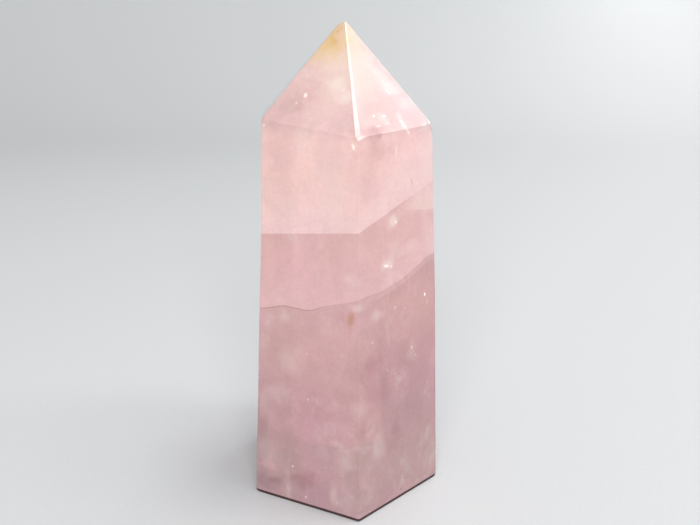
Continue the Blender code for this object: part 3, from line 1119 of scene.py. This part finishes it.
def add_cloud(bm, surface, random, place, along, length, width, depth, strength):
    """A milky cloud under the polish: several soft discs, tilted a little, one behind another."""
    along = Vector(along).normalized()
    for _ in range(CLOUD_DISCS):
        aside = Vector([random.gauss(0.0, width * 0.16) for _ in range(3)])
        aside += along * random.gauss(0.0, length * 0.14)
        centre, normal = under_polish(surface, Vector(place) + aside,
                                      depth + random.random() * width * 0.35)
        lean = (normal + Vector([random.gauss(0.0, 0.16) for _ in range(3)])).normalized()
        add_soft_disc(bm, centre, frame_on(lean, along), length * random.uniform(0.5, 0.9),
                      width * random.uniform(0.5, 1.0), strength)


# How far a large veil reaches along and across, and the heights that the veils hang between, in mm.
VEIL_REACH = (32, 22)
VEIL_HEIGHTS = (6.0, 122.0)


def add_inner_veil(bm, random, height):
    """A large soft veil across the inside, uneven and only just there."""
    film = bm.verts.layers.float["film"]
    lean = Vector([random.gauss(0.0, 1.0), random.gauss(0.0, 1.0), random.gauss(0.0, 0.45)]).normalized()
    centre = metres((random.gauss(1.0, 7.0), random.gauss(1.0, 7.0), height))
    place = Matrix.Translation(centre) @ frame_on(lean, (0.1, 0.2, 1.0))
    along, aside = VEIL_REACH
    made = bmesh.ops.create_grid(bm, x_segments=12, y_segments=12, size=1.0,
                                 matrix=place @ Matrix.Diagonal((along * MM, aside * MM, 1.0, 1.0)))
    inverse = place.inverted()
    for vert in made["verts"]:
        flat = inverse @ vert.co / MM
        reach = sqrt((flat.x / along) ** 2 + (flat.y / aside) ** 2)
        vert[film] = max(0.0, 1.0 - reach) ** 0.6
        vert.co += lean * (noise.noise(vert.co / MM / 14.0) * 2.0 * MM)


def add_film(bm, surface, place, along, length, width, strength):
    """One flaw, speck or crack that reaches the polish."""
    centre, normal = under_polish(surface, place, ON_POLISH)
    add_soft_disc(bm, centre, frame_on(normal, along), length * 1.5, width * 1.5, strength)


# Where specks and clouds are scattered: between two turns about the stone, in half turns from its right
# side to its left one by way of its back, between two heights, and so far out across and back, in mm.
SCATTER_TURNS = (-0.15, 1.15)
SCATTER_HEIGHTS = (3.0, 128.0)
SCATTER_REACH = (32.0, 34.0)


def random_place(random):
    """A place in mm on the outside of the stone, away from its front."""
    turn = random.uniform(*SCATTER_TURNS) * pi
    height = random.uniform(*SCATTER_HEIGHTS)
    across, back = SCATTER_REACH
    return Vector((across * cos(turn), back * sin(turn), height))


# The operators


class QUARTZ_OT_add_stone(bpy.types.Operator):
    """Grind and polish the stone from its planes"""

    bl_idname = "quartz.add_stone"
    bl_label = "Add the stone"

    def execute(self, context):
        sizes = context.scene.quartz_stone
        bm = bmesh.new()
        ground_stone(bm, sizes)
        sliced(bm)
        hand_worn(bm, sizes)
        bmesh.ops.recalc_face_normals(bm, faces=bm.faces[:])
        keep_crisp(bm)
        stone = finish_mesh(STONE, bm, quartz_material(sizes))
        even = stone.modifiers.new("flat_faces_stay_flat", "WEIGHTED_NORMAL")
        even.weight = 100
        even.keep_sharp = True
        fixed_to_stone(stone)
        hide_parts(NODE)
        return {"FINISHED"}


class QUARTZ_OT_add_fractures(bpy.types.Operator):
    """Lay the two healed fractures across the stone"""

    bl_idname = "quartz.add_fractures"
    bl_label = "Add the healed fractures"

    def execute(self, context):
        sizes, sealed = context.scene.quartz_stone, context.scene.quartz_sealed
        material = film_material("healed_fracture_film", sealed.veil_white, *FRACTURE_FILM)
        for name, fracture in (("upper_healed_fracture", UPPER_FRACTURE),
                               ("lower_healed_fracture", LOWER_FRACTURE)):
            fracture_sheet(name, fracture, material, sizes)
        return {"FINISHED"}


class QUARTZ_OT_add_inner_veils(bpy.types.Operator):
    """Hang large soft veils across the inside of the stone"""

    bl_idname = "quartz.add_inner_veils"
    bl_label = "Add the inner veils"

    def execute(self, context):
        sealed = context.scene.quartz_sealed
        random = Random(sealed.seed + 2)
        bm = new_soft_mesh()
        lowest, highest = VEIL_HEIGHTS
        for step in range(sealed.inner_veils):
            add_inner_veil(bm, random, lowest + (highest - lowest) * (step + 0.5) / sealed.inner_veils)
        trim(bm, VEIL_INSET * MM)
        seal("inner_veils", bm, film_material("inner_veil", sealed.inner_pink, *VEIL_FILM))
        return {"FINISHED"}


class QUARTZ_OT_add_clouds(bpy.types.Operator):
    """Seal the milky clouds in the stone"""

    bl_idname = "quartz.add_clouds"
    bl_label = "Add the milky clouds"

    def execute(self, context):
        sealed = context.scene.quartz_sealed
        surface = stone_surface()
        random = Random(sealed.seed)
        bm = new_soft_mesh()
        for cloud in CLOUDS:
            add_cloud(bm, surface, random, *cloud)
        for _ in range(sealed.scattered_clouds):
            along = [random.gauss(0.0, 0.4), random.gauss(0.0, 0.4), 1.0]
            add_cloud(bm, surface, random, random_place(random), along, random.uniform(4.0, 13.0),
                      random.uniform(2.0, 4.5), random.uniform(0.4, 1.4), random.uniform(0.35, 0.9))
        trim(bm, CLOUD_INSET * MM)
        material = film_material("milky_cloud", sealed.veil_white, *CLOUD_FILM)
        seal("milky_clouds", bm, material)
        return {"FINISHED"}


class QUARTZ_OT_add_flaws(bpy.types.Operator):
    """Set the bright white flaws into the polish"""

    bl_idname = "quartz.add_flaws"
    bl_label = "Add the bright flaws"

    def execute(self, context):
        sealed = context.scene.quartz_sealed
        surface = stone_surface()
        random = Random(sealed.seed + 1)
        bm = new_soft_mesh()
        for flaw in FLAWS:
            add_film(bm, surface, *flaw)
        for _ in range(sealed.scattered_specks):
            along = [random.gauss(0.0, 0.5), random.gauss(0.0, 0.5), 1.0]
            width = 0.3 + 0.5 * random.random() ** 3
            add_film(bm, surface, random_place(random), along, width * random.uniform(1.0, 3.0), width,
                     random.uniform(0.3, 0.8))
        trim(bm, SWOLLEN * MM)
        material = film_material("white_flaw", sealed.flaw_white, *ON_POLISH_FILM)
        seal("bright_flaws", bm, material)
        return {"FINISHED"}


class QUARTZ_OT_add_rust(bpy.types.Operator):
    """Set the specks of iron rust and the thin dark cracks into the polish"""

    bl_idname = "quartz.add_rust"
    bl_label = "Add the rust and the cracks"

    def execute(self, context):
        sealed = context.scene.quartz_sealed
        surface = stone_surface()
        for name, rows, colour in (("rust_specks", RUST, sealed.rust_brown),
                                   ("dark_cracks", CRACKS, sealed.crack_brown)):
            bm = new_soft_mesh()
            for row in rows:
                add_film(bm, surface, *row)
            trim(bm, SWOLLEN * MM)
            seal(name, bm, film_material(name, colour, *ON_POLISH_FILM))
        return {"FINISHED"}


# The camera stands a little right of the stone's middle, level with its tip, and looks down.
CAMERA_PLACE = (2.0, -225.1, 142.7)
CAMERA_DOWN = radians(17.8)
CAMERA_LENS = 39.09
CAMERA_SENSOR = 36.0


def add_camera(scene):
    """The camera of the main view."""
    data = bpy.data.cameras.new("camera")
    data.sensor_width = CAMERA_SENSOR
    data.lens = CAMERA_LENS
    data.clip_start = 0.01
    data.clip_end = 50.0
    camera = bpy.data.objects.new("camera", data)
    camera.location = metres(CAMERA_PLACE)
    camera.rotation_euler = (pi / 2 - CAMERA_DOWN, 0.0, 0.0)
    scene.collection.objects.link(camera)
    scene.camera = camera


# The colours of the lights and of the room, as linear red, green and blue: a little warm.
LAMP_WHITE = (1.0, 0.985, 0.965)
ROOM_WHITE = (1.0, 0.99, 0.98)

# The soft lights: the place, the point it faces, the size (m), its share of the light power, and
# which way its long side points.
SOFTBOXES = {
    "front_light": ((0.0, -1.8, 0.895), (0.0, 0.0, 0.07), (1.35, 1.35), 1.0, UPWARDS),
    "window": ((0.69, 0.445, 0.861), (0.0, 0.0, 0.125), (0.52, 0.42), 0.0444, UPWARDS),
    "side_strip": ((0.692, -0.14, 0.898), (0.0, -0.02, 0.11), (0.19, 0.70), 0.0556, (-0.49, -0.19, 0.41)),
    "ceiling_light": ((0.24, -0.01, 1.09), (0.0, 0.0, 0.13), (0.36, 0.26), 0.0578, UPWARDS),
    "rim_light": ((0.60, 1.06, 0.49), (0.0, 0.0, 0.12), (0.45, 0.5), 0.0533, UPWARDS),
}


def add_softbox(scene, name, place, target, size, power, upwards):
    """A large soft light that faces a point, and that the camera looks past."""
    data = bpy.data.lights.new(name, "AREA")
    data.shape = "RECTANGLE"
    data.size, data.size_y = size
    data.energy = power
    data.color = LAMP_WHITE
    lamp = bpy.data.objects.new(name, data)
    away = (Vector(place) - Vector(target)).normalized()
    side = Vector(upwards).cross(away).normalized()
    lamp.rotation_euler = Matrix((side, away.cross(side), away)).transposed().to_euler()
    lamp.location = place
    lamp.visible_camera = False
    scene.collection.objects.link(lamp)


def floor_material(stage):
    """Matt painted board: even, pale and without gloss."""
    material, tree, shader = new_material("matt_painted_board")
    grain = add_node(tree, "TexNoise", {"Vector": place_in_mm(tree), "Scale": 1 / 1.5, "Detail": 3.0})
    feed(tree, mottled(tree, stage.floor_grey, grain, 0.2, 0.8, 0.985, 1.015), shader.inputs["Base Color"])
    shader.inputs["Roughness"].default_value = 0.8
    return material


# The floor: half its length, how many times wider it is, how far forward its middle is, how far behind
# the stone it sweeps up and how round the sweep is, in metres.
FLOOR_REACH = 6.0
FLOOR_WIDENING = 5.0
FLOOR_FORWARD = 4.0
SWEEP_START = 0.7
SWEEP_RADIUS = 0.6


def add_floor(stage):
    """A wide floor that sweeps up behind the stone."""
    bm = bmesh.new()
    bmesh.ops.create_grid(bm, x_segments=2, y_segments=180, size=FLOOR_REACH)
    bmesh.ops.scale(bm, verts=bm.verts[:], vec=(FLOOR_WIDENING, 1.0, 1.0))
    bmesh.ops.translate(bm, verts=bm.verts[:], vec=(0.0, -FLOOR_FORWARD, 0.0))
    for vert in bm.verts:
        reach = vert.co.y - SWEEP_START
        if reach > 0:
            bend = min(reach / SWEEP_RADIUS, pi / 2)
            vert.co.y = SWEEP_START + SWEEP_RADIUS * sin(bend)
            vert.co.z = SWEEP_RADIUS * (1 - cos(bend)) + max(0.0, reach - SWEEP_RADIUS * pi / 2)
    floor = finish_mesh("floor", bm, floor_material(stage))


# How many films a ray of light may pass on its way through the stone.
FILMS_IN_A_ROW = 40


class QUARTZ_OT_set_stage(bpy.types.Operator):
    """Set the camera, the floor and the lights"""

    bl_idname = "quartz.set_stage"
    bl_label = "Set the stage"

    def execute(self, context):
        scene = context.scene
        stage = scene.quartz_stage
        add_camera(scene)
        add_floor(stage)
        for name, (place, target, size, share, upwards) in SOFTBOXES.items():
            add_softbox(scene, name, place, target, size, stage.light_power * share, upwards)
        world = bpy.data.worlds.new("soft_room")
        world.use_nodes = True
        background = world.node_tree.nodes["Background"]
        background.inputs["Color"].default_value = opaque(ROOM_WHITE)
        background.inputs["Strength"].default_value = stage.room_light
        scene.world = world
        scene.view_settings.view_transform = "Standard"
        scene.cycles.transparent_max_bounces = FILMS_IN_A_ROW
        return {"FINISHED"}


STEPS = (QUARTZ_OT_add_stone, QUARTZ_OT_add_fractures, QUARTZ_OT_add_inner_veils, QUARTZ_OT_add_clouds,
         QUARTZ_OT_add_flaws, QUARTZ_OT_add_rust, QUARTZ_OT_set_stage)


class QUARTZ_PT_sidebar(bpy.types.Panel):
    bl_label = "Rose quartz"
    bl_idname = "QUARTZ_PT_sidebar"
    bl_space_type = "VIEW_3D"
    bl_region_type = "UI"
    bl_category = "Rose quartz"

    def draw(self, context):
        for step in STEPS:
            self.layout.operator(step.bl_idname)
        for group in ("quartz_stone", "quartz_sealed", "quartz_stage"):
            settings = getattr(context.scene, group)
            box = self.layout.box()
            for name in settings.__annotations__:
                box.prop(settings, name)


GROUPS = {"quartz_stone": StoneSettings, "quartz_sealed": SealedSettings, "quartz_stage": StageSettings}


def register():
    for made in (*GROUPS.values(), *STEPS, QUARTZ_PT_sidebar):
        bpy.utils.register_class(made)
    for name, group in GROUPS.items():
        setattr(bpy.types.Scene, name, PointerProperty(type=group))


def unregister():
    for name in GROUPS:
        delattr(bpy.types.Scene, name)
    for made in (QUARTZ_PT_sidebar, *reversed(STEPS), *GROUPS.values()):
        bpy.utils.unregister_class(made)


def main():
    register()
    for step in STEPS:
        group, name = step.bl_idname.split(".")
        getattr(getattr(bpy.ops, group), name)()


if __name__ == "__main__":
    main()
